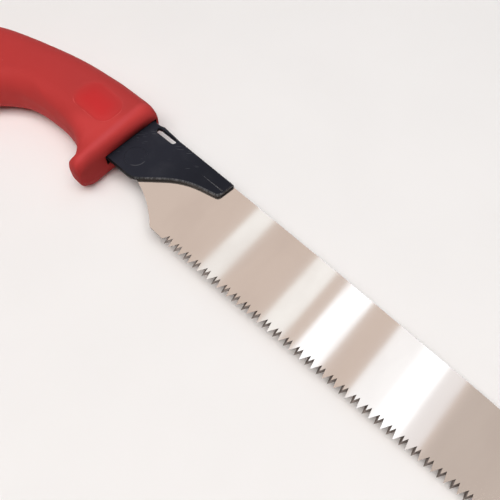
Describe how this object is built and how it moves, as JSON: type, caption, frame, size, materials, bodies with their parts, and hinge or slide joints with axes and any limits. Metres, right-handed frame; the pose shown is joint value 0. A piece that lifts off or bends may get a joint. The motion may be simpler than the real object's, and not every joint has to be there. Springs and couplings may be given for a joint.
{
  "type": "pruning saw",
  "caption": "Pull-stroke pruning saw: straight tapered blade hooked on a pin in a folded black steel holder, with a curved red grip that has a finger guard.",
  "frame": {"origin": "on the flat flank that the grip lies on, under the middle of the grip", "axes": "+X along the line of tooth gullets towards the blade's tip, +Y from the teeth towards the blade's back, +Z square to the blade, up when the saw lies on its flank"},
  "size_m": [0.4891, 0.0927, 0.028],
  "materials": {
    "bright_steel": "ground and plated, bright with a faint cross grain",
    "black_coated_steel": "satin black coating over stamped sheet",
    "coated_pin_steel": "coated with the holder, flush",
    "core_plastic": "moulded, unseen",
    "rivet_steel": "plain zinc-plated steel, unseen",
    "red_elastomer": "matte moulded elastomer with a smoother sunk pad"
  },
  "bodies": {
    "handle": {"grip": "red_elastomer", "grip_core": "core_plastic", "blade_holder": "black_coated_steel", "hook_pin": "coated_pin_steel", "front_rivet": "rivet_steel", "rear_rivet": "rivet_steel"},
    "saw_blade": {"blade": "bright_steel"}
  },
  "joints": [
    {"name": "blade_swing", "type": "hinge", "parent": "handle", "child": "saw_blade", "pos_m": [0.0607, -0.0052, 0.014], "axis": [0, 0, -1], "range_deg": [0, 60]}
  ]
}
